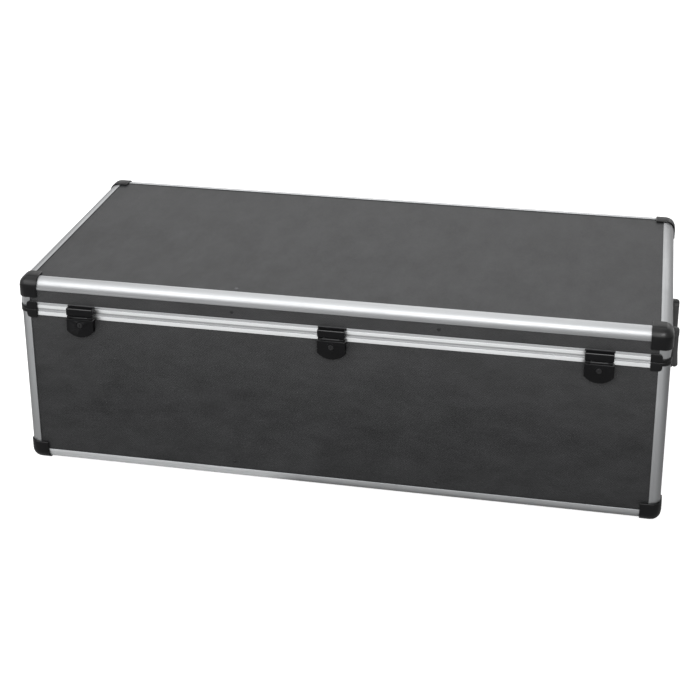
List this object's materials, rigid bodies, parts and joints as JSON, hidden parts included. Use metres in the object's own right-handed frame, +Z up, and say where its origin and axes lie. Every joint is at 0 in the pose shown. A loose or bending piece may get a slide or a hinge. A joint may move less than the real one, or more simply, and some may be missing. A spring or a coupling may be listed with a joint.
{
  "type": "lighting flight case",
  "caption": "Long flight case for stage lights with slotted edge extrusions, ball corners, a hinged shallow lid, key-locking flip latches and swinging end handles.",
  "frame": {"origin": "under the middle of the closed case, on the plane that its ball corners stand on", "axes": "+X along the case to the right as seen from the latches, +Y to the back, +Z up"},
  "size_m": [1.1652, 0.535, 0.362],
  "materials": {
    "laminate": "dark grey laminate on plywood, finely mottled",
    "extrusion": "satin anodised",
    "moulding": "black moulded, slight sheen",
    "latch_plastic": "black, semi-gloss",
    "enamel": "black enamel",
    "zinc": "zinc plated"
  },
  "bodies": {
    "base": {"base_floor": "laminate", "base_front_panel": "laminate", "base_rear_panel": "laminate", "base_left_panel": "laminate", "base_right_panel": "laminate", "base_edge_front": "extrusion", "base_edge_rear": "extrusion", "base_edge_left": "extrusion", "base_edge_right": "extrusion", "base_post_front_left": "extrusion", "base_post_front_right": "extrusion", "base_post_rear_left": "extrusion", "base_post_rear_right": "extrusion", "base_rim": "extrusion", "base_corner_front_left": "moulding", "base_corner_front_right": "moulding", "base_corner_rear_left": "moulding", "base_corner_rear_right": "moulding", "base_joiner_front_left": "moulding", "base_joiner_front_right": "moulding", "base_joiner_rear_left": "moulding", "base_joiner_rear_right": "moulding", "hinge_leaf_base": "zinc", "hinge_pin": "zinc", "latch_housing_left": "enamel", "latch_housing_middle": "enamel", "latch_housing_right": "enamel", "handle_mount_left": "moulding", "handle_mount_right": "moulding"},
    "lid": {"lid_top": "laminate", "lid_front_panel": "laminate", "lid_rear_panel": "laminate", "lid_left_panel": "laminate", "lid_right_panel": "laminate", "lid_edge_front": "extrusion", "lid_edge_rear": "extrusion", "lid_edge_left": "extrusion", "lid_edge_right": "extrusion", "lid_rim": "extrusion", "lid_corner_front_left": "moulding", "lid_corner_front_right": "moulding", "lid_corner_rear_left": "moulding", "lid_corner_rear_right": "moulding", "lid_joiner_front_left": "moulding", "lid_joiner_front_right": "moulding", "lid_joiner_rear_left": "moulding", "lid_joiner_rear_right": "moulding", "hinge_leaf_lid": "zinc"},
    "lever_left": {"latch_lever_left": "latch_plastic"},
    "hook_left": {"latch_hook_left": "latch_plastic"},
    "plug_left": {"lock_plug_left": "enamel"},
    "lever_middle": {"latch_lever_middle": "latch_plastic"},
    "hook_middle": {"latch_hook_middle": "latch_plastic"},
    "plug_middle": {"lock_plug_middle": "enamel"},
    "lever_right": {"latch_lever_right": "latch_plastic"},
    "hook_right": {"latch_hook_right": "latch_plastic"},
    "plug_right": {"lock_plug_right": "enamel"},
    "bail_left": {"handle_bail_left": "moulding"},
    "bail_right": {"handle_bail_right": "moulding"}
  },
  "joints": [
    {"name": "lid_hinge", "type": "hinge", "parent": "base", "child": "lid", "pos_m": [0, 0.26445, 0.3025], "axis": [-1, 0, 0], "range_deg": [0, 105]},
    {"name": "lever_turn_left", "type": "hinge", "parent": "base", "child": "lever_left", "pos_m": [-0.45, -0.25915, 0.3045], "axis": [-1, 0, 0], "range_deg": [0, 90]},
    {"name": "hook_turn_left", "type": "hinge", "parent": "lever_left", "child": "hook_left", "pos_m": [-0.45, -0.26525, 0.2985], "axis": [-1, 0, 0], "range_deg": [-90, 0]},
    {"name": "lock_turn_left", "type": "hinge", "parent": "lever_left", "child": "plug_left", "pos_m": [-0.45, -0.26375, 0.284], "axis": [0, 1, 0], "range_deg": [0, 90]},
    {"name": "lever_turn_middle", "type": "hinge", "parent": "base", "child": "lever_middle", "pos_m": [0, -0.25915, 0.3045], "axis": [-1, 0, 0], "range_deg": [0, 90]},
    {"name": "hook_turn_middle", "type": "hinge", "parent": "lever_middle", "child": "hook_middle", "pos_m": [0, -0.26525, 0.2985], "axis": [-1, 0, 0], "range_deg": [-90, 0]},
    {"name": "lock_turn_middle", "type": "hinge", "parent": "lever_middle", "child": "plug_middle", "pos_m": [0, -0.26375, 0.284], "axis": [0, 1, 0], "range_deg": [0, 90]},
    {"name": "lever_turn_right", "type": "hinge", "parent": "base", "child": "lever_right", "pos_m": [0.45, -0.25915, 0.3045], "axis": [-1, 0, 0], "range_deg": [0, 90]},
    {"name": "hook_turn_right", "type": "hinge", "parent": "lever_right", "child": "hook_right", "pos_m": [0.45, -0.26525, 0.2985], "axis": [-1, 0, 0], "range_deg": [-90, 0]},
    {"name": "lock_turn_right", "type": "hinge", "parent": "lever_right", "child": "plug_right", "pos_m": [0.45, -0.26375, 0.284], "axis": [0, 1, 0], "range_deg": [0, 90]},
    {"name": "bail_swing_left", "type": "hinge", "parent": "base", "child": "bail_left", "pos_m": [-0.5755, 0.00275, 0.2655], "axis": [0, 1, 0], "range_deg": [0, 95]},
    {"name": "bail_swing_right", "type": "hinge", "parent": "base", "child": "bail_right", "pos_m": [0.5755, 0.00275, 0.2655], "axis": [0, -1, 0], "range_deg": [0, 95]}
  ],
  "couplings": [
    {"joint": "hook_turn_left", "follows": "lever_turn_left", "ratio": -1},
    {"joint": "hook_turn_middle", "follows": "lever_turn_middle", "ratio": -1},
    {"joint": "hook_turn_right", "follows": "lever_turn_right", "ratio": -1}
  ]
}
